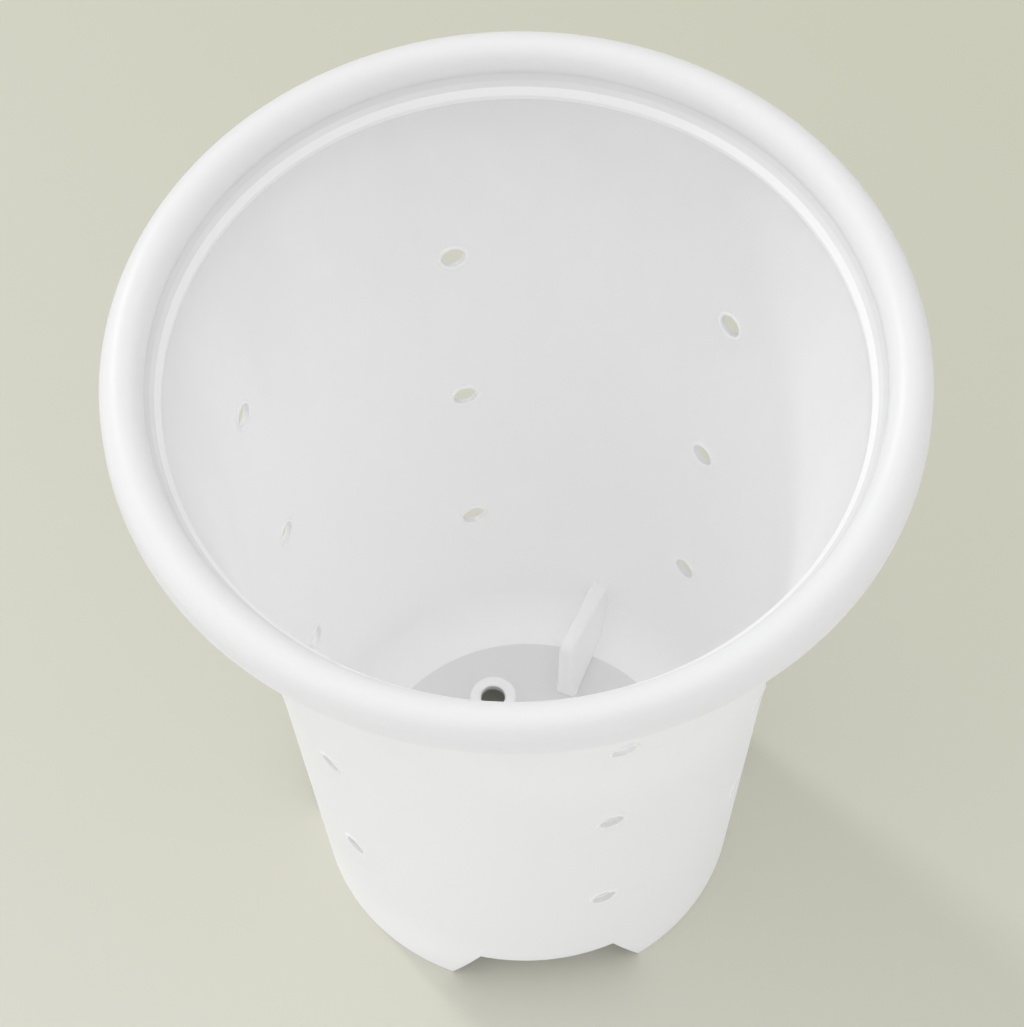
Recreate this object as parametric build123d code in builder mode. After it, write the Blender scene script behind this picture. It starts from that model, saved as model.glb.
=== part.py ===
"""Tall vented orchid pot: one thin moulding, modelled as the regions it is made of.

Millimetres, +Z up, origin on the ground at the middle of the foot ring.
Angles round the pot are measured from the front (-Y) towards the right (+X).
"""
import os
from math import asin, atan, cos, degrees, radians, sin, sqrt, tan

from build123d import *

# Overall sizes
rim_diameter = 150.0
pot_height = 173.4
foot_diameter = 84.6
wall = 1.0

# Side wall: straight draft from the foot, then one arc out to the rim
wall_draft = 5.15
flare_start = 64.0

# Rolled rim and the ledge inside it
bead_width = 8.0
bead_wall = 1.3
skirt_drop = 7.6
ledge_depth = 4.8
ledge_width = 2.8
ledge_fall = 3.4
ledge_thickness = 1.1

# Floor
floor_level = 7.5
floor_thickness = 1.2
corner_radius = 9.5
pan_collar = 2.0

# Feet: stretches of skirt with wide notches between them
foot_count = 3
foot_wall = 1.2
notch_turn = 4.5
notch_width = 38.5
notch_end_slope = 22.0

# Side vents, in columns that stand nearly but not quite evenly round the pot
vent_turns = (18.5, 64.0, 132.0, 192.0, 249.0, 312.0)
vent_rows = 3
vent_first_height = 43.6
vent_pitch = 40.8
vent_bore = 4.6
eyelet_diameter = 6.3
eyelet_proud = 0.2
eyelet_round = 0.25
eyelet_clearance = 0.05

# Drain holes
drain_count = 4
drain_turn = 198.0
drain_circle_radius = 21.4
drain_bore = 5.0
collar_diameter = 9.8
collar_height = 1.2
collar_round = 0.6

# Root fins
fin_count = 4
fin_turn = 157.4
fin_base_thickness = 4.3
fin_tip_thickness = 2.6
fin_inner_radius = 22.6
fin_tip_height = 28.0
fin_wall_height = 20.5
fin_corner_round = 2.0
fin_edge_round = 0.5
fin_clearance = 0.1

# Places that follow from the sizes above
rim_radius = rim_diameter / 2
foot_radius = foot_diameter / 2
bead_round = bead_width / 2
bead_inner_radius = rim_radius - bead_width
bead_spring = pot_height - bead_round
skirt_bottom = pot_height - skirt_drop
ledge_top = pot_height - ledge_depth
ledge_inner_radius = bead_inner_radius - ledge_width
ledge_lip = ledge_top - ledge_fall
wall_top = ledge_lip - ledge_thickness
wall_top_radius = ledge_inner_radius + wall
floor_underside = floor_level - floor_thickness
outer_corner_radius = corner_radius + wall
pan_top = floor_level + corner_radius + pan_collar
draft = tan(radians(wall_draft))
lean = (sin(radians(wall_draft)), cos(radians(wall_draft)))
flare_radius = foot_radius + draft * flare_start

# The flare is the arc that leaves the straight draft at its top and ends under the ledge
flare_rise = wall_top - flare_start
flare_reach = wall_top_radius - flare_radius
flare_bend = (flare_reach**2 + flare_rise**2) / (
    2 * (flare_reach * cos(radians(wall_draft)) - flare_rise * sin(radians(wall_draft)))
)
flare_centre_radius = flare_radius + flare_bend * cos(radians(wall_draft))
flare_centre_height = flare_start - flare_bend * sin(radians(wall_draft))


def outer_radius(height):
    """Outside radius of the wall at a height."""
    if height <= flare_start:
        return foot_radius + draft * height
    return flare_centre_radius - sqrt(flare_bend**2 - (height - flare_centre_height) ** 2)


def wall_tilt(height):
    """Lean of the wall from upright at a height, in degrees."""
    if height <= flare_start:
        return wall_draft
    return degrees(asin((height - flare_centre_height) / flare_bend))


def outward(turn):
    """Level direction that points out of the pot at an angle round it."""
    return Vector(sin(radians(turn)), -cos(radians(turn)), 0)


def turns(first, count):
    """Evenly spaced angles round the pot."""
    return [first + 360 / count * step for step in range(count)]


def radial_plane(turn):
    """Upright plane through the axis, with X outwards and Y up."""
    return Plane(origin=(0, 0, 0), x_dir=outward(turn), z_dir=outward(turn).cross(Vector(0, 0, 1)))


def facing_plane(turn):
    """Upright plane through the axis that faces outwards, with Y up."""
    return Plane(origin=(0, 0, 0), x_dir=Vector(0, 0, 1).cross(outward(turn)), z_dir=outward(turn))


def vent_plane(turn, height):
    """Plane in the middle of the wall, square to it, at one vent."""
    tilt = radians(wall_tilt(height))
    place = outward(turn) * (outer_radius(height) - wall / 2) + Vector(0, 0, height)
    return Plane(origin=place, z_dir=outward(turn) * cos(tilt) - Vector(0, 0, sin(tilt)))


def write(piece, name):
    """Labels one finished piece and writes it to its own file."""
    piece.part.label = name
    export_step(piece.part, f"parts/{name}.step")


os.makedirs("parts", exist_ok=True)

# Rolled bead: an upside-down U, its outer leg hanging lower than its inner one
with BuildPart() as rim_lip:
    with BuildSketch(Plane.XZ):
        with BuildLine():
            CenterArc((rim_radius - bead_round, bead_spring), bead_round, 0, 180)
            Polyline(
                (bead_inner_radius, bead_spring),
                (bead_inner_radius, ledge_top),
                (bead_inner_radius + bead_wall, ledge_top),
                (bead_inner_radius + bead_wall, bead_spring),
            )
            CenterArc((rim_radius - bead_round, bead_spring), bead_round - bead_wall, 0, 180)
            Polyline(
                (rim_radius - bead_wall, bead_spring),
                (rim_radius - bead_wall, skirt_bottom),
                (rim_radius, skirt_bottom),
                (rim_radius, bead_spring),
            )
        make_face()
    revolve(axis=Axis.Z)
write(rim_lip, "rim_lip")

# Ledge: a sloping shelf that carries the bead's inner leg and stands on the wall
with BuildPart() as rim_ledge:
    with BuildSketch(Plane.XZ):
        with BuildLine():
            Polyline(
                (ledge_inner_radius, wall_top),
                (ledge_inner_radius, ledge_lip),
                (bead_inner_radius, ledge_top),
                (bead_inner_radius + bead_wall, ledge_top),
                (bead_inner_radius + bead_wall, ledge_top - ledge_thickness),
                (wall_top_radius, wall_top),
                close=True,
            )
        make_face()
    revolve(axis=Axis.Z)
write(rim_ledge, "rim_ledge")

# Side wall with a seat for every vent eyelet
vent_heights = [vent_first_height + vent_pitch * row for row in range(vent_rows)]
vent_planes = {
    (column, row): vent_plane(turn, height)
    for column, turn in enumerate(vent_turns, start=1)
    for row, height in enumerate(vent_heights, start=1)
}
with BuildPart() as side_wall:
    with BuildSketch(Plane.XZ):
        with BuildLine():
            Line((outer_radius(pan_top), pan_top), (flare_radius, flare_start))
            TangentArc((flare_radius, flare_start), (wall_top_radius, wall_top), tangent=lean)
            Line((wall_top_radius, wall_top), (wall_top_radius - wall, wall_top))
            TangentArc((flare_radius - wall, flare_start), (wall_top_radius - wall, wall_top), tangent=lean)
            Line((flare_radius - wall, flare_start), (outer_radius(pan_top) - wall, pan_top))
            Line((outer_radius(pan_top) - wall, pan_top), (outer_radius(pan_top), pan_top))
        make_face()
    revolve(axis=Axis.Z)
    with BuildSketch(*vent_planes.values()):
        Circle(eyelet_diameter / 2 + eyelet_clearance)
    extrude(amount=wall * 2, both=True, mode=Mode.SUBTRACT)
write(side_wall, "side_wall")

# Vent eyelets: thickened rings, proud of the wall on both sides
for (column, row), plane in vent_planes.items():
    with BuildPart() as vent_eyelet:
        with BuildSketch(plane):
            Circle(eyelet_diameter / 2)
            Circle(vent_bore / 2, mode=Mode.SUBTRACT)
        extrude(amount=wall / 2 + eyelet_proud, both=True)
        fillet(vent_eyelet.edges().filter_by(GeomType.CIRCLE), eyelet_round)
    write(vent_eyelet, f"vent_eyelet_{column}_{row}")

# The pan's rounded inner corner, between the flat floor and the wall
inner_corner_height = floor_level + corner_radius
floor_radius = outer_radius(inner_corner_height) - wall - corner_radius / cos(radians(wall_draft))
inner_corner_end = (
    floor_radius + corner_radius * cos(radians(wall_draft)),
    inner_corner_height - corner_radius * sin(radians(wall_draft)),
)

# The pan's rounded outer corner, which runs out into the wall, and the height where a foot meets it
corner_height = floor_underside + outer_corner_radius
corner_centre_radius = outer_radius(corner_height) - outer_corner_radius / cos(radians(wall_draft))
corner_end_radius = corner_centre_radius + outer_corner_radius * cos(radians(wall_draft))
corner_end_height = corner_height - outer_corner_radius * sin(radians(wall_draft))
seat_reach = outer_radius(corner_height) - foot_wall - corner_centre_radius
foot_top = corner_height - (
    seat_reach * draft + sqrt((1 + draft**2) * outer_corner_radius**2 - seat_reach**2)
) / (1 + draft**2)
foot_top_radius = outer_radius(foot_top)

# The wide notches between the feet, with sloping ends, as the block that cuts them
notch_slant = pan_top * tan(radians(notch_end_slope))
with BuildPart() as notches:
    with BuildSketch(*[facing_plane(turn) for turn in turns(notch_turn, foot_count)]):
        with BuildLine():
            Polyline(
                (-notch_width / 2, 0),
                (notch_width / 2, 0),
                (notch_width / 2 - notch_slant, pan_top),
                (-notch_width / 2 + notch_slant, pan_top),
                close=True,
            )
        make_face()
    extrude(amount=rim_radius)

# What the notches take off the pan: the edge outside its rounded corner
with BuildPart() as notch_corners:
    with BuildSketch(Plane.XZ):
        with BuildLine():
            TangentArc((corner_end_radius, corner_end_height), (foot_top_radius - foot_wall, foot_top),
                       tangent=(-lean[0], -lean[1]))
            Line((foot_top_radius - foot_wall, foot_top), (foot_top_radius, foot_top))
            Line((foot_top_radius, foot_top), (corner_end_radius, corner_end_height))
        make_face()
    revolve(axis=Axis.Z)
    add(notches.part, mode=Mode.INTERSECT)

# Floor pan: over the feet the wall runs straight down, and over the notches its corner is round
with BuildPart() as floor_pan:
    with BuildSketch(Plane.XZ):
        with BuildLine():
            Line((0, floor_underside), (corner_centre_radius, floor_underside))
            TangentArc((corner_centre_radius, floor_underside), (foot_top_radius - foot_wall, foot_top),
                       tangent=(1, 0))
            Polyline(
                (foot_top_radius - foot_wall, foot_top),
                (foot_top_radius, foot_top),
                (outer_radius(pan_top), pan_top),
                (outer_radius(pan_top) - wall, pan_top),
                inner_corner_end,
            )
            TangentArc(inner_corner_end, (floor_radius, floor_level), tangent=(-lean[0], -lean[1]))
            Polyline((floor_radius, floor_level), (0, floor_level), (0, floor_underside))
        make_face()
    revolve(axis=Axis.Z)
    drain_places = [outward(turn) * drain_circle_radius for turn in turns(drain_turn, drain_count)]
    with BuildSketch(Plane.XY.offset(floor_level)):
        with Locations(*drain_places):
            Circle(drain_bore / 2)
    extrude(amount=floor_thickness * 2, both=True, mode=Mode.SUBTRACT)
    add(notch_corners.part, mode=Mode.SUBTRACT)
write(floor_pan, "floor_pan")

# Drain collars: raised rings on the floor
for number, place in enumerate(drain_places, start=1):
    with BuildPart() as drain_collar:
        with BuildSketch(Plane.XY.offset(floor_level)):
            with Locations(place):
                Circle(collar_diameter / 2)
                Circle(drain_bore / 2, mode=Mode.SUBTRACT)
        extrude(amount=collar_height)
        fillet(drain_collar.edges().group_by(Axis.Z)[-1], collar_round)
    write(drain_collar, f"drain_collar_{number}")

# Root fins: upright plates, thicker at the foot, cut to the floor, the rounded corner and the wall behind them
fin_back = outer_radius(fin_wall_height)
fin_slimming = (fin_base_thickness - fin_tip_thickness) / 2
fin_draft = degrees(atan(fin_slimming / (fin_tip_height - floor_underside)))
cavity_corner_end = (inner_corner_end[0] - fin_clearance, inner_corner_end[1])
for number, turn in enumerate(turns(fin_turn, fin_count), start=1):
    with BuildPart() as root_fin:
        with BuildSketch(Plane(origin=(0, 0, floor_underside), x_dir=outward(turn))):
            Rectangle(rim_diameter * 2, fin_base_thickness)
        extrude(amount=fin_tip_height, taper=fin_draft)
        with BuildSketch(radial_plane(turn)) as fin_outline:
            with BuildLine():
                Polyline(
                    (fin_inner_radius, floor_underside),
                    (fin_inner_radius, fin_tip_height),
                    (fin_back, fin_wall_height),
                    (fin_back, floor_underside),
                    close=True,
                )
            make_face()
            fillet(fin_outline.vertices().group_by(Axis.Z)[-1], fin_corner_round)
        extrude(amount=fin_base_thickness, both=True, mode=Mode.INTERSECT)
        side_faces = root_fin.faces().sort_by(Axis((0, 0, 0), outward(turn + 90)))
        fillet(side_faces[0].edges() + side_faces[-1].edges(), fin_edge_round)
        with BuildSketch(Plane.XZ):
            with BuildLine():
                Polyline(
                    (floor_radius, floor_level),
                    (0, floor_level),
                    (0, fin_tip_height),
                    (outer_radius(fin_tip_height) - wall - fin_clearance, fin_tip_height),
                    cavity_corner_end,
                )
                TangentArc(cavity_corner_end, (floor_radius, floor_level), tangent=(-lean[0], -lean[1]))
            make_face()
        revolve(axis=Axis.Z, mode=Mode.INTERSECT)
    write(root_fin, f"root_fin_{number}")

# Feet: the skirt below the floor pan, parted by the notches
with BuildPart() as foot_ring:
    with BuildSketch(Plane.XZ):
        with BuildLine():
            Polyline(
                (outer_radius(0) - foot_wall, 0),
                (outer_radius(0), 0),
                (foot_top_radius, foot_top),
                (foot_top_radius - foot_wall, foot_top),
                close=True,
            )
        make_face()
    revolve(axis=Axis.Z)
    add(notches.part, mode=Mode.SUBTRACT)
for number, solid in enumerate(foot_ring.solids(), start=1):
    with BuildPart() as foot:
        add(solid)
    write(foot, f"foot_{number}")
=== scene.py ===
# %% [markdown]
# A milky orchid pot, built as one moulding
#
# The pot is a single thin moulding in natural polypropylene, a plastic that is neither clear nor
# opaque: light goes into a wall, wanders about in it and comes out on the other side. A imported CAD
# model, split into named regions, fixes where everything is. This lesson rebuilds the visible surface
# over that frame as one smooth, closed skin, because light that wanders through plastic would show
# every seam between two solids. Then it gives the skin its finish.

# %% Load the frame
from math import acos, asin, atan2, cos, degrees, hypot, pi, radians, sin, sqrt, tan

import bmesh
import bpy
from mathutils import Matrix, Vector


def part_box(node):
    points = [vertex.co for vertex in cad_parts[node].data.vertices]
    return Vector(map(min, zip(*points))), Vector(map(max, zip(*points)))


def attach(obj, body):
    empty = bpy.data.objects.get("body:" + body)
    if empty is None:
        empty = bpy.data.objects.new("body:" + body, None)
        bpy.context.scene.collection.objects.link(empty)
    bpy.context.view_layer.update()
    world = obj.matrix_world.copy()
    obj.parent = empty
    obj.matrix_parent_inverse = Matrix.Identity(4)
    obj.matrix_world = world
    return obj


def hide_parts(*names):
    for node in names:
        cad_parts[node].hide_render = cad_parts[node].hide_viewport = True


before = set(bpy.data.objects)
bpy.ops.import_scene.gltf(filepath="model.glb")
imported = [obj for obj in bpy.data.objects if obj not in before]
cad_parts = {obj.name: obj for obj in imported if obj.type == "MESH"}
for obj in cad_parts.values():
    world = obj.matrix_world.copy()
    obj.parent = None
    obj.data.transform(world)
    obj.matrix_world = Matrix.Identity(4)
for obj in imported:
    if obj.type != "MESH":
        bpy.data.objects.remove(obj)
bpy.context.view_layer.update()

# %% [markdown]
# Sizes
#
# Everything is in metres, so MM turns a drawing's millimetres into scene units. The main sizes are read
# from the frame's own boxes, which keeps this file true if the CAD part is resized. Only what a box
# can't tell, such as a wall's thickness or a corner's radius, is written here.

# %% Read the main sizes from the frame
MM = 0.001
rim_low, rim_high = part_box("rim_lip")
ledge_low, ledge_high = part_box("rim_ledge")
pan_low, pan_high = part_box("floor_pan")
collar_low, collar_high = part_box("drain_collar_1")

RIM_RADIUS = rim_high.x
POT_TOP = rim_high.z
SKIRT_BOTTOM = rim_low.z
LEDGE_TOP = ledge_high.z
WALL_TOP = ledge_low.z
WALL_TOP_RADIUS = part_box("side_wall")[1].x
FLOOR_UNDERSIDE = pan_low.z
FLOOR_LEVEL = collar_low.z

WALL = 1.0 * MM
WALL_DRAFT = radians(5.15)
FLARE_START = 64 * MM
FOOT_RADIUS = pan_high.x - pan_high.z * tan(WALL_DRAFT)
print("rim radius, foot radius and height:",
      [round(size / MM, 2) for size in (RIM_RADIUS, FOOT_RADIUS, POT_TOP)], "mm")

# %% [markdown]
# Camera
#
# The picture looks steeply down into the mouth, with a long lens, so the rim is nearly a true ellipse.
# The camera's place and three angles come from fitting the rim, the foot and the wall's outline
# together. The lens is worked out from the picture's height, because Blender gives a sensor's width to
# the longer side of the picture.

# %% Make the camera
PICTURE_HEIGHT = 1027
FOCAL_PIXELS = 4800
CAMERA_PLACE = Vector((0, -455.47, 902.67)) * MM
CAMERA_PITCH = radians(59.805)
CAMERA_PAN = radians(-0.18)
CAMERA_ROLL = radians(1.665)


def camera_axes(pitch, pan, roll):
    """Right, up and backward directions of a camera that looks along +Y, tipped down, panned and rolled."""
    forward = Vector((sin(pan) * cos(pitch), cos(pan) * cos(pitch), -sin(pitch)))
    level = Vector((cos(pan), -sin(pan), 0))
    down = forward.cross(level)
    right = level * cos(roll) + down * sin(roll)
    up = level * sin(roll) - down * cos(roll)
    return right, up, -forward


camera_data = bpy.data.cameras.new("photo_camera")
camera_data.sensor_width = 36
camera_data.lens = FOCAL_PIXELS * camera_data.sensor_width / PICTURE_HEIGHT
camera = bpy.data.objects.new("photo_camera", camera_data)
camera.matrix_world = Matrix.Translation(CAMERA_PLACE) @ Matrix(
    camera_axes(CAMERA_PITCH, CAMERA_PAN, CAMERA_ROLL)
).transposed().to_4x4()
bpy.context.scene.collection.objects.link(camera)
bpy.context.scene.camera = camera
print("lens", round(camera_data.lens, 1), "mm")

# %% [markdown]
# The wall's curve
#
# From the foot the wall leans out at a small, even draft, which lets the pot leave its mould. Higher up
# it sweeps out to the rim on one large arc that starts along the straight part. One function that gives
# the radius at a height serves the wall, the feet, the fins and the vents.

# %% Radius of the wall at a height
flare_radius = FOOT_RADIUS + FLARE_START * tan(WALL_DRAFT)
flare_rise = WALL_TOP - FLARE_START
flare_reach = WALL_TOP_RADIUS - flare_radius
FLARE_BEND = (flare_reach**2 + flare_rise**2) / (
    2 * (flare_reach * cos(WALL_DRAFT) - flare_rise * sin(WALL_DRAFT))
)
flare_centre_radius = flare_radius + FLARE_BEND * cos(WALL_DRAFT)
flare_centre_height = FLARE_START - FLARE_BEND * sin(WALL_DRAFT)


def outer_radius(height):
    """Outside radius of the wall at a height."""
    if height <= FLARE_START:
        return FOOT_RADIUS + height * tan(WALL_DRAFT)
    return flare_centre_radius - sqrt(FLARE_BEND**2 - (height - flare_centre_height) ** 2)


def wall_tilt(height):
    """Lean of the wall from upright at a height."""
    if height <= FLARE_START:
        return WALL_DRAFT
    return asin((height - flare_centre_height) / FLARE_BEND)


def outward(turn):
    """Level direction out of the pot, at an angle round it from the front (-Y) towards the right (+X)."""
    return Vector((sin(turn), -cos(turn), 0))


print("flare arc", round(FLARE_BEND / MM, 1), "mm")

# %% [markdown]
# Drawing a section
#
# A turned or moulded round piece is known by its section: the outline that a cut through the axis
# shows. Three small helpers draw one as points of (radius, height): a subdivided straight, an arc, and
# a run of corners that are each rounded by their own radius, as every real moulded edge is.

# %% Helpers that draw a section
def straight(first, last, spacing):
    """Points from first to last, no further apart than spacing, without the first."""
    length = hypot(last[0] - first[0], last[1] - first[1])
    count = max(1, round(length / spacing))
    return [
        (first[0] + (last[0] - first[0]) * step / count, first[1] + (last[1] - first[1]) * step / count)
        for step in range(1, count + 1)
    ]


def arc(centre, radius, first, last, count):
    """Points on an arc between two angles, both ends included."""
    return [
        (
            centre[0] + radius * cos(first + (last - first) * step / count),
            centre[1] + radius * sin(first + (last - first) * step / count),
        )
        for step in range(count + 1)
    ]


def rounded(corners, steps=5):
    """Points along (radius, height, rounding) corners, with an arc wherever the rounding isn't zero."""
    points = []
    for index, (r, z, rounding) in enumerate(corners):
        if rounding == 0:
            points.append((r, z))
            continue
        corner = Vector((r, z))
        before = (Vector(corners[index - 1][:2]) - corner).normalized()
        after = (Vector(corners[index + 1][:2]) - corner).normalized()
        half = acos(max(-1, min(1, before.dot(after)))) / 2
        centre = corner + (before + after).normalized() * rounding / sin(half)
        start = corner + before * rounding / tan(half) - centre
        end = corner + after * rounding / tan(half) - centre
        first = atan2(start.y, start.x)
        sweep = (atan2(end.y, end.x) - first + pi) % (2 * pi) - pi
        points += arc(centre, rounding, first, first + sweep, steps)
    return points


print("section helpers ready")

# %% [markdown]
# The section of the pot
#
# The real pot comes out of its mould in one piece, so one closed skin follows its whole section: over
# the floor, up the inside, round the rolled rim and down the outside. The rim is a bead rolled into an
# upside-down U, with a sloping ledge inside it. Below the wall there are two ways to go on: over a foot
# the wall runs straight down to the ground, and over a notch it rolls under at the floor corner.

# %% Section of the rolled rim
BEAD_WIDTH = 8 * MM
BEAD_WALL = 1.3 * MM
LEDGE_THICKNESS = 1.1 * MM
LIP_ROUND = 0.5 * MM
GROOVE_ROUND = 0.5 * MM
SKIRT_ROUND = 0.4 * MM

bead_round = BEAD_WIDTH / 2
bead_inner = RIM_RADIUS - BEAD_WIDTH
bead_spring = POT_TOP - bead_round
bead_centre = (RIM_RADIUS - bead_round, bead_spring)
ledge_inner = WALL_TOP_RADIUS - WALL
rim_section = (
    rounded([
        (ledge_inner, WALL_TOP, 0),
        (ledge_inner, WALL_TOP + LEDGE_THICKNESS, LIP_ROUND),
        (bead_inner, LEDGE_TOP, GROOVE_ROUND),
        (bead_inner, bead_spring, 0),
    ])[1:-1]
    + arc(bead_centre, bead_round, pi, 0, 24)
    + rounded([
        (RIM_RADIUS, bead_spring, 0),
        (RIM_RADIUS, SKIRT_BOTTOM, SKIRT_ROUND),
        (RIM_RADIUS - BEAD_WALL, SKIRT_BOTTOM, SKIRT_ROUND),
        (RIM_RADIUS - BEAD_WALL, bead_spring, 0),
    ])[1:-1]
    + arc(bead_centre, bead_round - BEAD_WALL, 0, pi, 12)
    + rounded([
        (bead_inner + BEAD_WALL, bead_spring, 0),
        (bead_inner + BEAD_WALL, LEDGE_TOP - LEDGE_THICKNESS, GROOVE_ROUND),
        (WALL_TOP_RADIUS, WALL_TOP, 0),
    ])[1:-1]
)
print("rim section:", len(rim_section), "points")

# %% The rounded floor corner and the seat of a foot
CORNER_RADIUS = 9.5 * MM
FOOT_WALL = 1.2 * MM

inner_corner_height = FLOOR_LEVEL + CORNER_RADIUS
floor_radius = outer_radius(inner_corner_height) - WALL - CORNER_RADIUS / cos(WALL_DRAFT)
outer_corner = CORNER_RADIUS + WALL
outer_corner_height = FLOOR_UNDERSIDE + outer_corner
outer_corner_centre = outer_radius(outer_corner_height) - outer_corner / cos(WALL_DRAFT)
corner_end = (
    outer_corner_centre + outer_corner * cos(WALL_DRAFT),
    outer_corner_height - outer_corner * sin(WALL_DRAFT),
)

# A foot's inner face, which leans like the wall, meets the rounded corner at its seat
seat_reach = outer_radius(outer_corner_height) - FOOT_WALL - outer_corner_centre
slope = tan(WALL_DRAFT)
foot_top = outer_corner_height - (
    seat_reach * slope + sqrt((1 + slope**2) * outer_corner**2 - seat_reach**2)
) / (1 + slope**2)
foot_seat = (outer_radius(foot_top) - FOOT_WALL, foot_top)
seat_angle = atan2(foot_seat[1] - outer_corner_height, foot_seat[0] - outer_corner_centre)
print("flat floor", round(floor_radius / MM, 2), "mm in radius,",
      "feet seated", round(foot_top / MM, 2), "mm up")

# %% Sections of the wall, floor and feet
FOOT_EDGE = 0.3 * MM
WALL_ROW = 4 * MM
FOOT_ROW = 1.5 * MM

wall_start = inner_corner_height - CORNER_RADIUS * sin(WALL_DRAFT)
wall_rows = round((WALL_TOP - wall_start) / WALL_ROW)
inner_heights = [wall_start + (WALL_TOP - wall_start) * row / wall_rows for row in range(1, wall_rows + 1)]
outer_heights = [WALL_TOP + (corner_end[1] - WALL_TOP) * row / wall_rows for row in range(wall_rows + 1)]
upper_section = (
    [(0, FLOOR_LEVEL)]
    + straight((0, FLOOR_LEVEL), (floor_radius, FLOOR_LEVEL), WALL_ROW)
    + arc((floor_radius, inner_corner_height), CORNER_RADIUS, -pi / 2, -WALL_DRAFT, 12)[1:]
    + [(outer_radius(z) - WALL, z) for z in inner_heights]
    + rim_section
    + [(outer_radius(z), z) for z in outer_heights]
)
foot_corners = rounded([
    (*corner_end, 0),
    (FOOT_RADIUS, 0, FOOT_EDGE),
    (FOOT_RADIUS - FOOT_WALL, 0, FOOT_EDGE),
    (*foot_seat, 0),
])
foot_section = (
    straight(foot_corners[0], foot_corners[1], FOOT_ROW)
    + foot_corners[2:-1]
    + straight(foot_corners[-2], foot_corners[-1], FOOT_ROW)[:-1]
)
corner_centre = (outer_corner_centre, outer_corner_height)
notch_section = arc(corner_centre, outer_corner, -WALL_DRAFT, seat_angle, len(foot_section) + 1)[1:-1]
under_section = (
    arc(corner_centre, outer_corner, seat_angle, -pi / 2, 6)
    + straight((outer_corner_centre, FLOOR_UNDERSIDE), (0, FLOOR_UNDERSIDE), WALL_ROW)
)
print("whole section:", len(upper_section) + len(foot_section) + len(under_section), "points")

# %% [markdown]
# The skin
#
# Spinning the section would give a pot without notches, and cutting them out afterwards would leave
# ragged faces along the line where the rounded floor corner runs out into the wall. Instead the skin is
# woven from upright columns of points. Each column follows the section over a foot or the one over a
# notch, the columns beside a notch lean with its sloping end, and the strip of faces between the two
# kinds of column closes that end.

# %% Where a notch ends
NOTCH_COUNT = 3
NOTCH_TURN = radians(4.5)
NOTCH_WIDTH = 38.5 * MM
NOTCH_END_SLOPE = radians(22)
SETTLE_ROWS = 7

notch_spacing = 2 * pi / NOTCH_COUNT


def notch_half_turn(point):
    """Angle from a notch's middle to its sloping end, at a point of the section."""
    return asin((NOTCH_WIDTH / 2 - point[1] * tan(NOTCH_END_SLOPE)) / point[0])


def half_turns(section):
    """That angle at every point of a section: even up the wall, and even again under the floor."""
    low = len(upper_section)
    under = low + len(foot_section)
    plain_half = notch_half_turn(corner_end)
    seat_lead = notch_half_turn(foot_seat) - plain_half
    halves = [plain_half] * low
    halves += [notch_half_turn(point) for point in section[low:under]]
    halves += [plain_half + seat_lead * max(0, 1 - row / SETTLE_ROWS) for row in range(len(under_section))]
    return halves


notch_turn = 2 * notch_half_turn((FOOT_RADIUS, 0))
print(NOTCH_COUNT, "notches,", round(degrees(notch_turn), 1), "degrees wide on the ground")

# %% Columns of points round the pot
NOTCH_COLUMNS = 26
FOOT_COLUMNS = 60


def column(section, turns):
    """Points of one upright column, each at its own angle round the pot."""
    return [outward(turn) * r + Vector((0, 0, z)) for (r, z), turn in zip(section, turns)]


def skin_columns():
    """Columns of points round the pot, with a pair of columns at every notch end."""
    over_notch = upper_section + notch_section + under_section
    over_foot = upper_section + foot_section + under_section
    notch_halves = half_turns(over_notch)
    foot_halves = half_turns(over_foot)
    for number in range(NOTCH_COUNT):
        middle = NOTCH_TURN + number * notch_spacing
        for step in range(NOTCH_COLUMNS + 1):
            share = 2 * step / NOTCH_COLUMNS - 1
            turns = [middle + share * half for half in notch_halves]
            yield column(over_notch, turns)
        for step in range(FOOT_COLUMNS + 1):
            share = step / FOOT_COLUMNS
            turns = [middle + half + share * (notch_spacing - 2 * half) for half in foot_halves]
            yield column(over_foot, turns)


columns_round_pot = list(skin_columns())
print(len(columns_round_pot), "columns of", len(columns_round_pot[0]), "points")

# %% Weave the skin
NOTCH_EDGE = 0.3 * MM
NOTCH_EDGE_ANGLE = radians(40)
MERGE = 0.001 * MM


def new_piece(name, mesh):
    """Puts a finished mesh into the scene as an object at the origin."""
    piece = bpy.data.objects.new(name, mesh)
    bpy.context.scene.collection.objects.link(piece)
    return piece


def woven_skin(name, columns_of_points):
    """Joins the columns into one closed skin and rounds the notch ends."""
    mesh = bmesh.new()
    columns = [[mesh.verts.new(point) for point in points] for points in columns_of_points]
    for left, right in zip(columns, columns[1:] + columns[:1]):
        for low in range(len(left) - 1):
            mesh.faces.new((left[low], right[low], right[low + 1], left[low + 1]))
    bmesh.ops.remove_doubles(mesh, verts=mesh.verts, dist=MERGE)
    bmesh.ops.dissolve_degenerate(mesh, edges=mesh.edges, dist=MERGE)
    bmesh.ops.recalc_face_normals(mesh, faces=mesh.faces)
    notch_edges = [
        edge for edge in mesh.edges
        if edge.is_manifold and edge.calc_face_angle_signed() > NOTCH_EDGE_ANGLE
        and max(vert.co.z for vert in edge.verts) < pan_high.z
    ]
    bmesh.ops.bevel(mesh, geom=notch_edges, offset=NOTCH_EDGE, segments=2, profile=0.5, affect="EDGES",
                    clamp_overlap=True)
    open_edges = sum(not edge.is_manifold for edge in mesh.edges)
    print(len(mesh.faces), "faces,", len(notch_edges), "notch edges rounded,", open_edges, "open edges,",
          round(mesh.calc_volume() / MM**3), "cubic mm")
    skin = bpy.data.meshes.new(name)
    mesh.to_mesh(skin)
    mesh.free()
    return new_piece(name, skin)


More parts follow.
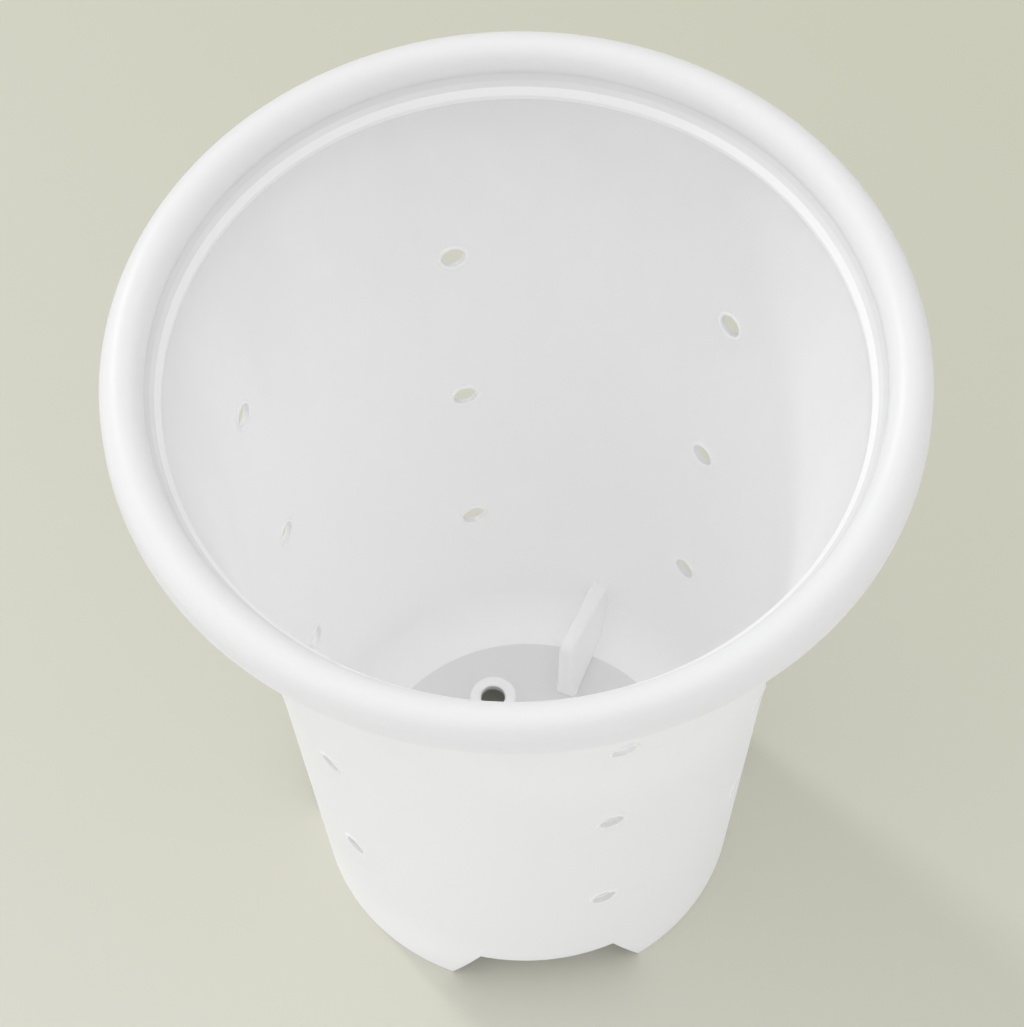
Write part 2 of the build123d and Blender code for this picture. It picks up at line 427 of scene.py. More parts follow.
pot = woven_skin("orchid_pot", columns_round_pot)

# %% [markdown]
# Marks for the vents and drains
#
# The side vents and the drains in the floor repeat the same hole and the same ring, so Geometry Nodes
# make them. First each hole gets a mark: one vertex at its middle, with an attribute that says which
# way the hole faces. The middles are read from the frame's boxes, and a vent faces square to the wall,
# which leans more the higher it is.

# %% Mark every vent and drain
COLLAR_SINK = 1.0 * MM


def nodes_named(start):
    """Names of the frame's nodes that start with a word, in order."""
    return sorted(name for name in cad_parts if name.startswith(start))


def middle_of(node):
    """Middle of a node's box."""
    low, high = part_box(node)
    return (low + high) / 2


def vent_facing(middle):
    """Direction square to the wall, out of the pot, at a vent's middle."""
    level = Vector((middle.x, middle.y, 0)).normalized()
    tilt = wall_tilt(middle.z)
    return level * cos(tilt) - Vector((0, 0, sin(tilt)))


def marks(name, places):
    """A mesh of single vertices, one per (middle, facing) pair, that Geometry Nodes will work on."""
    mesh = bpy.data.meshes.new(name)
    mesh.from_pydata([middle for middle, facing in places], [], [])
    attribute = mesh.attributes.new("facing", "FLOAT_VECTOR", "POINT")
    for item, (middle, facing) in zip(attribute.data, places):
        item.vector = facing
    return new_piece(name, mesh)


vent_middles = [middle_of(node) for node in nodes_named("vent_eyelet")]
drain_middles = [middle_of(node) - Vector((0, 0, COLLAR_SINK / 2)) for node in nodes_named("drain_collar")]
vent_marks = marks("vent_marks", [(middle, vent_facing(middle)) for middle in vent_middles])
drain_marks = marks("drain_marks", [(middle, Vector((0, 0, 1))) for middle in drain_middles])
print(len(vent_middles), "vents and", len(drain_middles), "drains marked")

# %% [markdown]
# Small helpers for node trees
#
# A node tree is a recipe. These helpers keep the recipes readable. One adds a node with its settings,
# and some short ones add the sums that come up again and again, in Geometry Nodes and in materials
# alike. Another makes a Geometry Nodes tree with named inputs, and the last runs a finished tree on an
# object and keeps the result as a plain mesh.

# %% Helpers that add nodes
def add_node(tree, kind, inputs=None, **settings):
    """Adds a node, sets its options, and links or fills its inputs by name."""
    node = tree.nodes.new(kind)
    for option, value in settings.items():
        setattr(node, option, value)
    for label, value in (inputs or {}).items():
        socket = node.inputs[label]
        if isinstance(value, bpy.types.NodeSocket):
            tree.links.new(value, socket)
        else:
            socket.default_value = value
    return node


def worked_out(tree, operation, *sides):
    """The result of one sum. Each side is a number or a socket."""
    return add_node(tree, "ShaderNodeMath", dict(enumerate(sides)), operation=operation).outputs["Value"]


def vector_sum(tree, operation, *sides):
    """The result of one sum with vectors: a number for a length or a dot product, or else a vector."""
    node = add_node(tree, "ShaderNodeVectorMath", dict(enumerate(sides)), operation=operation)
    return node.outputs["Value" if operation in ("LENGTH", "DOT_PRODUCT") else "Vector"]


def ramp(tree, value, low, high, first=0.0, last=1.0):
    """A number that goes evenly from first to last while the value goes from low to high."""
    node = add_node(tree, "ShaderNodeMapRange", {
        "Value": value, "From Min": low, "From Max": high, "To Min": first, "To Max": last,
    })
    return node.outputs["Result"]


def axis_reach(tree, place):
    """Distance of a place from the upright axis."""
    return vector_sum(tree, "LENGTH", vector_sum(tree, "MULTIPLY", place, (1, 1, 0)))


print("node helpers ready")

# %% Helpers for Geometry Nodes
def new_tree(name, inputs):
    """An empty Geometry Nodes tree with a geometry input, named value inputs and a geometry output."""
    tree = bpy.data.node_groups.new(name, "GeometryNodeTree")
    tree.interface.new_socket("Geometry", in_out="INPUT", socket_type="NodeSocketGeometry")
    for label, kind in inputs.items():
        tree.interface.new_socket(label, in_out="INPUT", socket_type=kind)
    tree.interface.new_socket("Geometry", in_out="OUTPUT", socket_type="NodeSocketGeometry")
    return tree, tree.nodes.new("NodeGroupInput").outputs, tree.nodes.new("NodeGroupOutput").inputs


def joined_skin(tree, first, second):
    """Two closed meshes joined into one, with nothing left inside."""
    union = add_node(tree, "GeometryNodeMeshBoolean", operation="UNION", solver="MANIFOLD")
    for mesh in (first, second):
        tree.links.new(mesh, union.inputs["Mesh 2"])
    return union.outputs["Mesh"]


def finish_tree(tree, geometry, material, result):
    """Ends a tree: real geometry, dressed in its material."""
    real = add_node(tree, "GeometryNodeRealizeInstances", {"Geometry": geometry})
    dressed = add_node(tree, "GeometryNodeSetMaterial", {
        "Geometry": real.outputs["Geometry"], "Material": material,
    })
    tree.links.new(dressed.outputs["Geometry"], result["Geometry"])
    return tree


def run_tree(piece, tree, values):
    """Runs a tree on an object and replaces its mesh by the plain result."""
    modifier = piece.modifiers.new(tree.name, "NODES")
    modifier.node_group = tree
    for item in tree.interface.items_tree:
        if item.in_out == "INPUT" and item.name in values:
            modifier[item.identifier] = values[item.name]
    graph = bpy.context.evaluated_depsgraph_get()
    result = bpy.data.meshes.new_from_object(piece.evaluated_get(graph), depsgraph=graph)
    piece.modifiers.remove(modifier)
    result.name = piece.name
    piece.data = result
    return piece


print("Geometry Nodes helpers ready")

# %% [markdown]
# Ringed holes
#
# The mould forms each hole with a pin, and a groove round the pin leaves a thickened ring: an eyelet at
# a vent, a raised collar at a drain. The tree works the same way. A round pin stands on every mark,
# square to the wall, and a Mesh Boolean takes the pins out of the skin. Then a rectangle with rounded
# corners is swept round a circle, set on every mark, and joined to the skin, so that ring and wall are
# one solid that light can pass through. Before it is joined, the ring is marked with an attribute, -1
# in its bore and +1 on the rest, by which the finish will find it again.

# %% Set copies on marks
def on_marks(tree, marks_socket, instance):
    """Copies of a piece on every mark, turned to face as the mark does, as real geometry."""
    places = add_node(tree, "GeometryNodeObjectInfo", {"Object": marks_socket})
    points = add_node(tree, "GeometryNodeMeshToPoints", {"Mesh": places.outputs["Geometry"]})
    facing = add_node(tree, "GeometryNodeInputNamedAttribute", {"Name": "facing"}, data_type="FLOAT_VECTOR")
    turn = add_node(tree, "FunctionNodeAlignRotationToVector", {
        "Vector": facing.outputs["Attribute"],
    }, axis="Z")
    copies = add_node(tree, "GeometryNodeInstanceOnPoints", {
        "Points": points.outputs["Points"], "Instance": instance, "Rotation": turn.outputs["Rotation"],
    })
    real = add_node(tree, "GeometryNodeRealizeInstances", {"Geometry": copies.outputs["Instances"]})
    return real.outputs["Geometry"]


print("helper for copies on marks ready")

# %% Tree that makes a ringed hole at every mark
PIN_VERTICES = 48
RING_RESOLUTION = 48
RING_ROUND_STEPS = 3
IN_BORE = -1.0
ON_RING = 1.0


def swept_ring(tree, given):
    """A ring with rounded edges, marked in its bore and on its faces."""
    path = add_node(tree, "GeometryNodeCurvePrimitiveCircle", {
        "Resolution": RING_RESOLUTION, "Radius": given["Ring Radius"],
    }, mode="RADIUS")
    outline = add_node(tree, "GeometryNodeCurvePrimitiveQuadrilateral", {
        "Width": given["Ring Width"], "Height": given["Ring Height"],
    }, mode="RECTANGLE")
    softened = add_node(tree, "GeometryNodeFilletCurve", {
        "Curve": outline.outputs["Curve"], "Count": RING_ROUND_STEPS, "Radius": given["Edge Round"],
    }, mode="POLY")
    ring = add_node(tree, "GeometryNodeCurveToMesh", {
        "Curve": path.outputs["Curve"], "Profile Curve": softened.outputs["Curve"],
    })
    place = add_node(tree, "GeometryNodeInputPosition").outputs["Position"]
    bore = worked_out(tree, "MULTIPLY_ADD", given["Ring Width"], -0.5, given["Ring Radius"])
    edge = worked_out(tree, "ADD", bore, given["Edge Round"])
    marked = add_node(tree, "GeometryNodeStoreNamedAttribute", {
        "Geometry": ring.outputs["Mesh"], "Name": "ring",
        "Value": ramp(tree, axis_reach(tree, place), bore, edge, IN_BORE, ON_RING),
    }, data_type="FLOAT", domain="FACE")
    return marked.outputs["Geometry"]


def ringed_holes_tree():
    """Takes a pin out of the skin at every mark and joins a ring round the hole."""
    tree, given, result = new_tree("ringed_holes", {
        "Marks": "NodeSocketObject",
        "Pin Radius": "NodeSocketFloat",
        "Pin Length": "NodeSocketFloat",
        "Ring Radius": "NodeSocketFloat",
        "Ring Width": "NodeSocketFloat",
        "Ring Height": "NodeSocketFloat",
        "Edge Round": "NodeSocketFloat",
        "Material": "NodeSocketMaterial",
    })
    pin = add_node(tree, "GeometryNodeMeshCylinder", {
        "Vertices": PIN_VERTICES, "Radius": given["Pin Radius"], "Depth": given["Pin Length"],
    })
    pierced = add_node(tree, "GeometryNodeMeshBoolean", {
        "Mesh 1": given["Geometry"], "Mesh 2": on_marks(tree, given["Marks"], pin.outputs["Mesh"]),
    }, operation="DIFFERENCE", solver="MANIFOLD")
    rings = on_marks(tree, given["Marks"], swept_ring(tree, given))
    joined = joined_skin(tree, pierced.outputs["Mesh"], rings)
    return finish_tree(tree, joined, given["Material"], result)


ringed_holes = ringed_holes_tree()
print("tree", ringed_holes.name, "with", len(ringed_holes.nodes), "nodes")

# %% [markdown]
# Root fins
#
# Upright plates stand on the floor and lean against the wall. They split the root ball and keep air in
# the middle of the bark. A fin is a little thicker at its foot, so that it leaves the mould. One fin is
# drawn from its side outline, given its thickness and rounded edges, and a tree turns it round the axis
# and joins the set to the skin.

# %% One fin
FIN_BASE_THICKNESS = 4.3 * MM
FIN_TIP_THICKNESS = 2.6 * MM
FIN_TIP_HEIGHT = 28 * MM
FIN_WALL_HEIGHT = 20.5 * MM
FIN_INNER_RADIUS = 22.6 * MM
FIN_CORNER = 2 * MM
FIN_EDGE = 0.5 * MM
FIN_SINK = 0.6 * MM


def fin_half_thickness(height):
    """Half of a fin's thickness at a height."""
    share = (height - FLOOR_UNDERSIDE) / (FIN_TIP_HEIGHT - FLOOR_UNDERSIDE)
    return (FIN_BASE_THICKNESS + (FIN_TIP_THICKNESS - FIN_BASE_THICKNESS) * share) / 2


def fin_mesh():
    """One fin, standing in the plane of zero turn, sunk a little into the floor and the wall."""
    back = outer_radius(FIN_WALL_HEIGHT) - WALL + FIN_SINK
    corner = arc((floor_radius, inner_corner_height), CORNER_RADIUS + FIN_SINK, -WALL_DRAFT, -pi / 2, 10)
    outline = rounded([
        (FIN_INNER_RADIUS, FLOOR_LEVEL - FIN_SINK, 0),
        (FIN_INNER_RADIUS, FIN_TIP_HEIGHT, FIN_CORNER),
        (back, FIN_WALL_HEIGHT, 0),
    ]) + corner
    mesh = bmesh.new()
    sides = [
        [mesh.verts.new((side * fin_half_thickness(z), -r, z)) for r, z in outline] for side in (-1, 1)
    ]
    for side in sides:
        mesh.faces.new(side)
    for step in range(len(outline)):
        after = (step + 1) % len(outline)
        mesh.faces.new((sides[0][step], sides[0][after], sides[1][after], sides[1][step]))
    bmesh.ops.recalc_face_normals(mesh, faces=mesh.faces)
    rims = [edge for edge in mesh.edges if edge.verts[0].co.x * edge.verts[1].co.x > 0]
    bmesh.ops.bevel(mesh, geom=rims, offset=FIN_EDGE, segments=3, profile=0.5, affect="EDGES",
                    clamp_overlap=True)
    fin = bpy.data.meshes.new("one_fin")
    mesh.to_mesh(fin)
    mesh.free()
    return fin


one_fin = new_piece("one_fin", fin_mesh())
print("one fin:", len(one_fin.data.polygons), "faces")

# %% Tree that repeats the fin round the axis
def fins_tree():
    """Turns copies of a fin round the axis by even steps and joins them to the skin."""
    tree, given, result = new_tree("fins_round_axis", {
        "Fin": "NodeSocketObject",
        "Count": "NodeSocketInt",
        "First Turn": "NodeSocketFloat",
        "Step": "NodeSocketFloat",
        "Material": "NodeSocketMaterial",
    })
    fin = add_node(tree, "GeometryNodeObjectInfo", {"Object": given["Fin"]})
    points = add_node(tree, "GeometryNodePoints", {"Count": given["Count"]})
    index = add_node(tree, "GeometryNodeInputIndex").outputs["Index"]
    turn = worked_out(tree, "MULTIPLY_ADD", index, given["Step"], given["First Turn"])
    euler = add_node(tree, "ShaderNodeCombineXYZ", {"Z": turn})
    rotation = add_node(tree, "FunctionNodeEulerToRotation", {"Euler": euler.outputs["Vector"]})
    copies = add_node(tree, "GeometryNodeInstanceOnPoints", {
        "Points": points.outputs["Points"], "Instance": fin.outputs["Geometry"],
        "Rotation": rotation.outputs["Rotation"],
    })
    fins = add_node(tree, "GeometryNodeRealizeInstances", {"Geometry": copies.outputs["Instances"]})
    joined = joined_skin(tree, given["Geometry"], fins.outputs["Geometry"])
    return finish_tree(tree, joined, given["Material"], result)


fins_round_axis = fins_tree()
print("tree", fins_round_axis.name, "with", len(fins_round_axis.nodes), "nodes")

# %% [markdown]
# Clouding and grain
#
# Two effects belong to any milky moulding, so each is a node group with named inputs that another
# material could use with its own strength. Clouding is a faint unevenness: the plastic cools unevenly,
# so it is a little whiter here and greyer there, drawn out along the way the melt flowed. Satin grain
# is the fine spark-eroded texture of the mould, which breaks up reflections.

# %% Shader groups for clouding and grain
CLOUD_LOW = 0.3
CLOUD_HIGH = 0.7
MIDDLE_OF_NOISE = 0.5


def new_group(name, inputs, outputs):
    """An empty shader group with named float inputs and float outputs."""
    group = bpy.data.node_groups.new(name, "ShaderNodeTree")
    for label, value in inputs.items():
        socket = group.interface.new_socket(label, in_out="INPUT", socket_type="NodeSocketFloat")
        socket.default_value = value
    for label in outputs:
        group.interface.new_socket(label, in_out="OUTPUT", socket_type="NodeSocketFloat")
    return group, group.nodes.new("NodeGroupInput").outputs, group.nodes.new("NodeGroupOutput").inputs


def clouding_group():
    """A slow, streaky whiteness mask from 0 to 1, in Object coordinates."""
    group, given, result = new_group("milky_clouding", {"Cloud Scale": 40.0, "Streak": 0.35}, ["Whiteness"])
    place = add_node(group, "ShaderNodeTexCoord").outputs["Object"]
    squash = add_node(group, "ShaderNodeCombineXYZ", {"X": 1.0, "Y": 1.0, "Z": given["Streak"]})
    cloud = add_node(group, "ShaderNodeTexNoise", {
        "Vector": vector_sum(group, "MULTIPLY", place, squash.outputs["Vector"]),
        "Scale": given["Cloud Scale"], "Detail": 4.0, "Roughness": 0.55,
    })
    group.links.new(ramp(group, cloud.outputs["Fac"], CLOUD_LOW, CLOUD_HIGH), result["Whiteness"])
    return group


def grain_group():
    """Fine mould texture: a height for bump and a small change of roughness."""
    group, given, result = new_group(
        "satin_grain", {"Grain Scale": 2600.0, "Roughness": 0.42, "Roughness Spread": 0.08},
        ["Height", "Roughness"],
    )
    place = add_node(group, "ShaderNodeTexCoord").outputs["Object"]
    grain = add_node(group, "ShaderNodeTexNoise", {
        "Vector": place, "Scale": given["Grain Scale"], "Detail": 2.0, "Roughness": 0.6,
    })
    patch = add_node(group, "ShaderNodeTexNoise", {
        "Vector": place, "Scale": 95.0, "Detail": 5.0, "Roughness": 0.65,
    })
    centred = worked_out(group, "SUBTRACT", patch.outputs["Fac"], MIDDLE_OF_NOISE)
    rough = worked_out(group, "MULTIPLY_ADD", centred, given["Roughness Spread"], given["Roughness"])
    group.links.new(grain.outputs["Fac"], result["Height"])
    group.links.new(rough, result["Roughness"])
    return group


milky_clouding = clouding_group()
satin_grain = grain_group()
print("shader groups:", milky_clouding.name, satin_grain.name)

# %% [markdown]
# Natural polypropylene
#
# The milky look is subsurface scattering: Principled lets light walk about inside the wall for a couple
# of millimetres before it leaves, and the wall is not thicker than that, so shadows and bright patches
# behind it show through softly. The plastic is not the same everywhere. Its colour is whitest low down
# and greyer towards the rim: painted shade that dims the open top of the pot. The rings and the lip of
# the ledge are thick, so they scatter light before it gets far, and their colour is kept white against
# the grey as a painted highlight. The flat floor, the bead, the groove under the bead and the bores of
# the holes get greyer colour as painted shade. The rounded corner and the feet are dense as well, while
# the flat floor lets some light through to the ground. Masks of height and of distance from the axis, in
# Object coordinates, tell these places apart.

# %% Masks of the places that differ
LIP_WIDTH = 1.1 * MM
FLOOR_MARGIN = 0.2 * MM
GROOVE_WIDTH = 0.9 * MM
GROOVE_RISE = 0.3 * MM


def dense_and_highlit_edges(tree, height, reach, ring):
    """A mask of the eyelets, the collars and the lip of the ledge, where the plastic is thicker: denser,
    and kept white as a painted highlight.
    """
    above = worked_out(tree, "GREATER_THAN", height, WALL_TOP)
    within = worked_out(tree, "LESS_THAN", reach, ledge_inner + LIP_WIDTH)
    return worked_out(tree, "MAXIMUM", worked_out(tree, "MULTIPLY", above, within), ring)


def flat_floor(tree, height, reach):
    """A mask of the flat floor, above and below, for its painted shade and its openness."""
    low = worked_out(tree, "LESS_THAN", height, FLOOR_LEVEL + FLOOR_MARGIN)
    return worked_out(tree, "MULTIPLY", low, worked_out(tree, "LESS_THAN", reach, floor_radius))


def bead_groove(tree, height, reach):
    """A mask of the groove where the ledge meets the bead, which gets painted shade."""
    above = worked_out(tree, "GREATER_THAN", height, WALL_TOP)
    under_bead = worked_out(tree, "LESS_THAN", height, LEDGE_TOP + GROOVE_RISE)
    beside = worked_out(tree, "COMPARE", reach, bead_inner - GROOVE_WIDTH / 2, GROOVE_WIDTH / 2)
    return worked_out(tree, "MULTIPLY", worked_out(tree, "MULTIPLY", above, under_bead), beside)


print("lip", round(LIP_WIDTH / MM, 1), "mm and groove", round(GROOVE_WIDTH / MM, 1), "mm wide")

# %% Tint of the plastic
WHITE_TINT = (0.997, 0.997, 0.997)
# Painted shade: the colour turns to this grey towards the top, dimming the open top of the pot.
TOP_SHADE_TINT = (0.8, 0.8, 0.805)
# Painted shade: the flat floor is greyer, standing in for the shaded ground seen through it.
FLOOR_SHADE_TINT = (0.87, 0.87, 0.87)
# Painted shade on the bead, a little lighter than the top of the wall.
BEAD_SHADE_TINT = (0.85, 0.85, 0.855)
# Painted shade in the groove where the ledge meets the bead.
GROOVE_SHADE_TINT = (0.78, 0.78, 0.785)
# Painted shade in the bores of the vents and drains.
BORE_SHADE_TINT = (0.72, 0.72, 0.72)
WHITE_HEIGHT = 60 * MM
GREY_HEIGHT = 165 * MM
CLOUD_WHITENING = 0.25
BORE_MARK = -0.5


def tinted(tree, mask, under, tint):
    """A tint laid over a colour where the mask is 1. Each of the two is a colour or a socket."""
    under, tint = (
        side if isinstance(side, bpy.types.NodeSocket) else (*side, 1) for side in (under, tint)
    )
    mix = add_node(tree, "ShaderNodeMix", {"Factor": mask, "A": under, "B": tint}, data_type="RGBA")
    return mix.outputs["Result"]


def plastic_tint(tree, height, reach, ring, thick, on_floor):
    """White low down and greyer towards the top as painted shade, with painted shade on the floor, bead,
    groove and bores, and the thick edges kept white as a painted highlight.
    """
    clouding = add_node(tree, "ShaderNodeGroup", node_tree=milky_clouding).outputs["Whiteness"]
    # Painted shade: greyer from WHITE_HEIGHT up to GREY_HEIGHT, lifted a little by the clouding.
    top_shade = ramp(tree, height, WHITE_HEIGHT, GREY_HEIGHT)
    shade_and_clouding = add_node(tree, "ShaderNodeMath", {
        0: clouding, 1: -CLOUD_WHITENING, 2: top_shade,
    }, operation="MULTIPLY_ADD", use_clamp=True)
    tint = tinted(tree, shade_and_clouding.outputs["Value"], WHITE_TINT, TOP_SHADE_TINT)
    tint = tinted(tree, on_floor, tint, FLOOR_SHADE_TINT)
    tint = tinted(tree, worked_out(tree, "GREATER_THAN", reach, bead_inner), tint, BEAD_SHADE_TINT)
    tint = tinted(tree, bead_groove(tree, height, reach), tint, GROOVE_SHADE_TINT)
    tint = tinted(tree, worked_out(tree, "LESS_THAN", ring, BORE_MARK), tint, BORE_SHADE_TINT)
    # Painted highlight: the thick edges are kept white against the greyer wall.
    return tinted(tree, thick, tint, WHITE_TINT)


print("tint from", WHITE_TINT[0], "below", round(WHITE_HEIGHT / MM), "mm to", TOP_SHADE_TINT[0], "at the top")

# %% Make the material
SCATTER_DEPTH = 2.2 * MM
SCATTER_RATIO = (1.0, 1.0, 1.04)
PLASTIC_IOR = 1.49
RING_DENSITY = 0.85
FLOOR_OPENNESS = 0.7
DENSE_HEIGHT = 14 * MM
OPEN_HEIGHT = 24 * MM
GRAIN_STRENGTH = 0.12
GRAIN_DEPTH = 0.05 * MM


def natural_polypropylene():
    """Milky plastic: light wanders through its thin wall, and less so where the plastic is thick."""
    material = bpy.data.materials.new("natural_polypropylene")
    material.use_nodes = True
    tree = material.node_tree
    tree.nodes.clear()
    place = add_node(tree, "ShaderNodeTexCoord").outputs["Object"]
    height = add_node(tree, "ShaderNodeSeparateXYZ", {"Vector": place}).outputs["Z"]
    reach = axis_reach(tree, place)
    ring = add_node(tree, "ShaderNodeAttribute", attribute_name="ring").outputs["Fac"]
    thick = dense_and_highlit_edges(tree, height, reach, ring)
    on_floor = flat_floor(tree, height, reach)
    thinness = worked_out(tree, "MULTIPLY_ADD", thick, -RING_DENSITY, 1)
    openness = worked_out(tree, "MULTIPLY", ramp(tree, height, DENSE_HEIGHT, OPEN_HEIGHT), thinness)
    floor_openness = worked_out(tree, "MULTIPLY", on_floor, FLOOR_OPENNESS)
    grain = add_node(tree, "ShaderNodeGroup", node_tree=satin_grain)
    bump = add_node(tree, "ShaderNodeBump", {
        "Height": grain.outputs["Height"], "Strength": GRAIN_STRENGTH, "Distance": GRAIN_DEPTH,
    })
    plastic = add_node(tree, "ShaderNodeBsdfPrincipled", {
        "Base Color": plastic_tint(tree, height, reach, ring, thick, on_floor),
        "Roughness": grain.outputs["Roughness"],
        "Normal": bump.outputs["Normal"],
        "Subsurface Weight": worked_out(tree, "MAXIMUM", openness, floor_openness),
        "Subsurface Radius": SCATTER_RATIO,
        "Subsurface Scale": SCATTER_DEPTH,
        "IOR": PLASTIC_IOR,
    }, subsurface_method="RANDOM_WALK")
    add_node(tree, "ShaderNodeOutputMaterial", {"Surface": plastic.outputs["BSDF"]})
    return material


polypropylene = natural_polypropylene()
print("material:", polypropylene.name, "with", len(polypropylene.node_tree.nodes), "nodes")

# %% [markdown]
# Run the recipes
#
# Now the trees run on the skin, one after another. The helpers they worked from are removed, and the
# shading is made smooth, with edges kept sharp only where faces meet at a clear angle. A last look at
# the mesh makes sure that it is still closed, because light inside the plastic would leak at a gap.

# %% Add the vents, drains and fins to the skin
VENT_BORE = 4.6 * MM
EYELET_DIAMETER = 6.3 * MM
EYELET_PROUD = 0.2 * MM
EYELET_ROUND = 0.25 * MM
DRAIN_BORE = 5.0 * MM
COLLAR_DIAMETER = 9.8 * MM
COLLAR_ROUND = 0.6 * MM
PIN_MARGIN = 0.3 * MM
PIN_LENGTH = 8 * MM
FIN_TURN = radians(157.4)


def ring_sizes(bore, diameter, height, rounding):
    """Inputs of the ringed holes tree for one kind of hole."""
    return {
        "Pin Radius": bore / 2 + PIN_MARGIN,
        "Pin Length": PIN_LENGTH,
        "Ring Radius": (bore + diameter) / 4,
        "Ring Width": (diameter - bore) / 2,
        "Ring Height": height,
        "Edge Round": rounding,
        "Material": polypropylene,
    }


collar_height = collar_high.z - collar_low.z
vent_sizes = ring_sizes(VENT_BORE, EYELET_DIAMETER, WALL + 2 * EYELET_PROUD, EYELET_ROUND)
drain_sizes = ring_sizes(DRAIN_BORE, COLLAR_DIAMETER, collar_height + COLLAR_SINK, COLLAR_ROUND)
fin_count = len(nodes_named("root_fin"))
run_tree(pot, ringed_holes, {"Marks": vent_marks, **vent_sizes})
run_tree(pot, ringed_holes, {"Marks": drain_marks, **drain_sizes})
run_tree(pot, fins_round_axis, {
    "Fin": one_fin, "Count": fin_count, "First Turn": FIN_TURN, "Step": 2 * pi / fin_count,
    "Material": polypropylene,
})
print("holes and", fin_count, "fins added")

# %% Smooth the skin and look it over
SHARP_ANGLE = radians(38)

for helper in (vent_marks, drain_marks, one_fin):
    bpy.data.objects.remove(helper)
pot.data.shade_smooth()
pot.data.set_sharp_from_angle(angle=SHARP_ANGLE)

check = bmesh.new()
check.from_mesh(pot.data)
print("pot:", sum(len(face.verts) - 2 for face in check.faces), "triangles,",
      sum(not edge.is_manifold for edge in check.edges), "open edges,",
      round(check.calc_volume() / MM**3), "cubic mm")
check.free()
ring_faces = sum(part.value > 0.5 for part in pot.data.attributes["ring"].data)
print("rings:", ring_faces, "faces of", len(pot.data.polygons))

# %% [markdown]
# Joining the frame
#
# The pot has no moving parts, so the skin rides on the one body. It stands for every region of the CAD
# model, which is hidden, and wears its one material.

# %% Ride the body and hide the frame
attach(pot, "root")
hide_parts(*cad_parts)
print(pot.name, "stands for", len(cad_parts), "nodes")

# %% [markdown]
# The sheet
#
# The pot stands on a plain pale sheet. To the camera it shows an olive tint that grows a little paler
# towards the near left, which is painted light, and it keeps the pot's shadow. The light that it throws
# back is plain, as from a large white table, because an olive cast would stain the milky walls. The
# table is darker behind the pot and under it, which is painted shade in the light that it throws back
# and keeps some depth in the far wall and in the notches.

# %% Lay the sheet
SHEET_SIZE = 6.0
FAR_TINT = (0.62, 0.62, 0.51)
# Painted light: the olive turns paler towards the near left.
NEAR_LIGHT_TINT = (0.722, 0.717, 0.63)
NEAR_DIRECTION = (-0.707, -0.707, 0)
FAR_PLACE = -205 * MM
NEAR_PLACE = 106 * MM
# Painted shade: the light thrown back grows darker behind the pot, and darker still under it.
TABLE_NEAR = (0.95, 0.95, 0.95)
TABLE_FAR_SHADE = (0.5, 0.5, 0.5)
TABLE_START = 30 * MM
TABLE_END = 200 * MM
TABLE_UNDER_SHADE = (0.5, 0.5, 0.5)


def sheet_paint():
    """Olive to the camera, paler towards the near left as painted light; neutral for the light that it
    throws back, with painted shade behind and under the pot.
    """
    material = bpy.data.materials.new("sheet_paint")
    material.use_nodes = True
    tree = material.node_tree
    paint = tree.nodes["Principled BSDF"]
    paint.inputs["Roughness"].default_value = 0.9
    paint.inputs["Specular IOR Level"].default_value = 0.1
    ray = add_node(tree, "ShaderNodeLightPath").outputs
    seen = worked_out(tree, "MAXIMUM", ray["Is Camera Ray"], ray["Is Glossy Ray"])
    seen = worked_out(tree, "MAXIMUM", seen, ray["Is Transmission Ray"])
    place = add_node(tree, "ShaderNodeTexCoord").outputs["Object"]
    nearness = vector_sum(tree, "DOT_PRODUCT", place, NEAR_DIRECTION)
    olive = tinted(tree, ramp(tree, nearness, FAR_PLACE, NEAR_PLACE), FAR_TINT, NEAR_LIGHT_TINT)
    depth = add_node(tree, "ShaderNodeSeparateXYZ", {"Vector": place}).outputs["Y"]
    table = tinted(tree, ramp(tree, depth, TABLE_START, TABLE_END), TABLE_NEAR, TABLE_FAR_SHADE)
    under_pot = worked_out(tree, "LESS_THAN", vector_sum(tree, "LENGTH", place), FOOT_RADIUS)
    table = tinted(tree, under_pot, table, TABLE_UNDER_SHADE)
    tree.links.new(tinted(tree, seen, table, olive), paint.inputs["Base Color"])
    return material


half_sheet = SHEET_SIZE / 2
sheet_corners = [(x * half_sheet, y * half_sheet, 0) for x, y in ((-1, -1), (1, -1), (1, 1), (-1, 1))]
sheet_mesh = bpy.data.meshes.new("sheet")
sheet_mesh.from_pydata(sheet_corners, [], [(0, 1, 2, 3)])
sheet_mesh.materials.append(sheet_paint())
new_piece("sheet", sheet_mesh)
print("sheet", SHEET_SIZE, "m wide")

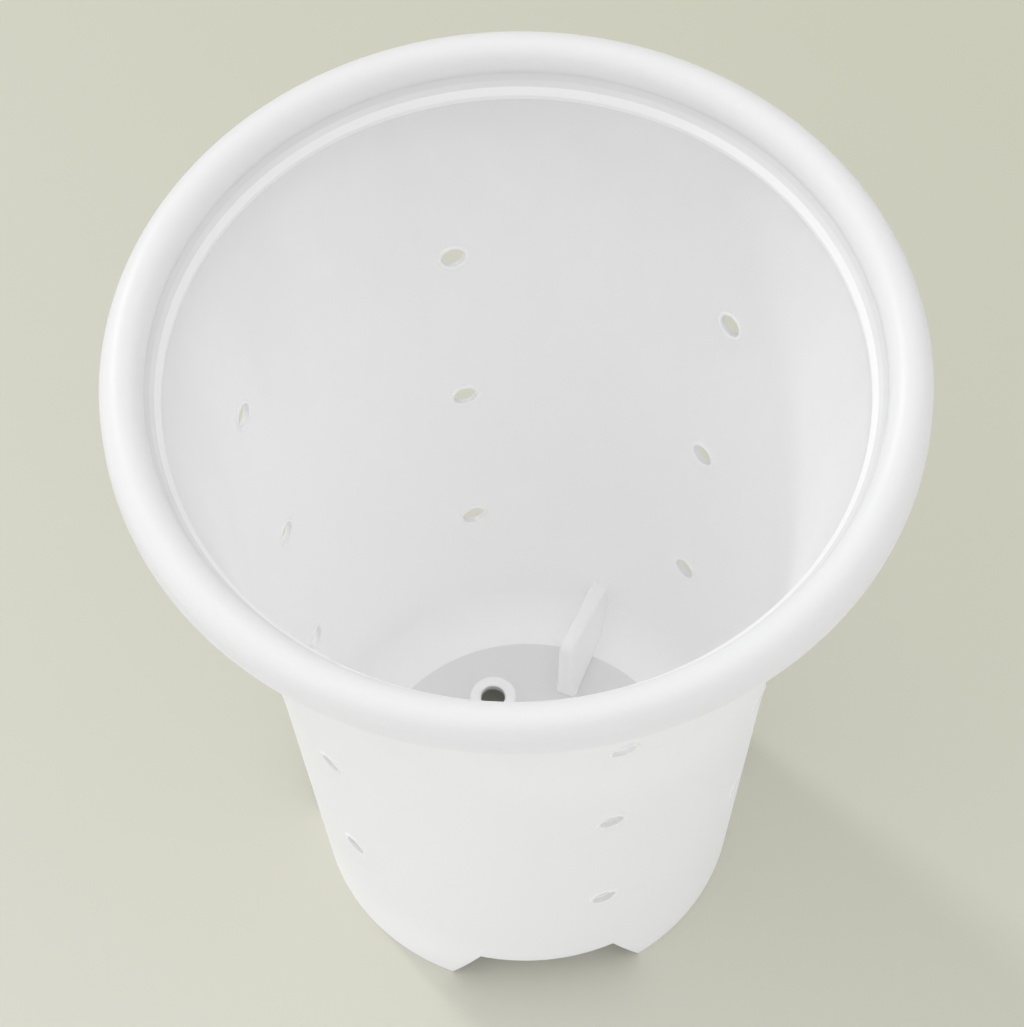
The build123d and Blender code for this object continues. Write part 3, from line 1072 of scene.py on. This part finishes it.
# %% [markdown]
# Lamp and sky
#
# One lamp far away on the left and a little behind throws a shadow to the right and towards the viewer.
# It is a few degrees wide, as a studio lamp is, so the edge of the shadow is soft. The sky fills the
# rest. It is brightest overhead, where a deep pot looks up, and then at the two sides. Together they
# light the sheet so that a colour renders about as it is written, and no pale surface turns plain
# white. Light that gets into a milky pot meets its walls many times before it finds a way out, so the
# number of diffuse bounces is raised.

# %% Hang the lamp
LAMP_DIRECTION = Vector((-0.557, 0.598, 0.574))
LAMP_ANGLE = radians(8)
LAMP_STRENGTH = 0.58

lamp_data = bpy.data.lights.new("far_lamp", "SUN")
lamp_data.angle = LAMP_ANGLE
lamp_data.energy = LAMP_STRENGTH
lamp = bpy.data.objects.new("far_lamp", lamp_data)
lamp.location = LAMP_DIRECTION
lamp.rotation_euler = (-LAMP_DIRECTION).to_track_quat("-Z", "Y").to_euler()
bpy.context.scene.collection.objects.link(lamp)
print("lamp", LAMP_STRENGTH, "from", round(degrees(asin(LAMP_DIRECTION.normalized().z))), "degrees up")

# %% Make the sky
SKY_BASE = 0.31
SKY_SIDES = 0.53
SKY_TOP = 0.86
SKY_LEFT = 0.12
SKY_FRONT = 0.12
DIFFUSE_BOUNCES = 64
ALL_BOUNCES = 96

world = bpy.data.worlds.new("sky")
world.use_nodes = True
sky_tree = world.node_tree
background = sky_tree.nodes["Background"]
background.inputs["Color"].default_value = (1, 1, 1, 1)
direction = add_node(sky_tree, "ShaderNodeTexCoord").outputs["Generated"]
squares = vector_sum(sky_tree, "MULTIPLY", direction, direction)
even = vector_sum(sky_tree, "DOT_PRODUCT", squares, (SKY_SIDES, 0, SKY_TOP))
leaning = vector_sum(sky_tree, "DOT_PRODUCT", direction, (-SKY_LEFT, -SKY_FRONT, 0))
strength = worked_out(sky_tree, "ADD", worked_out(sky_tree, "ADD", even, leaning), SKY_BASE)
sky_tree.links.new(strength, background.inputs["Strength"])

scene = bpy.context.scene
scene.world = world
scene.view_settings.view_transform = "Standard"
scene.cycles.diffuse_bounces = DIFFUSE_BOUNCES
scene.cycles.max_bounces = ALL_BOUNCES
print("sky", round(SKY_BASE + SKY_TOP, 2), "overhead and", round(SKY_BASE + SKY_SIDES, 2), "at the sides")
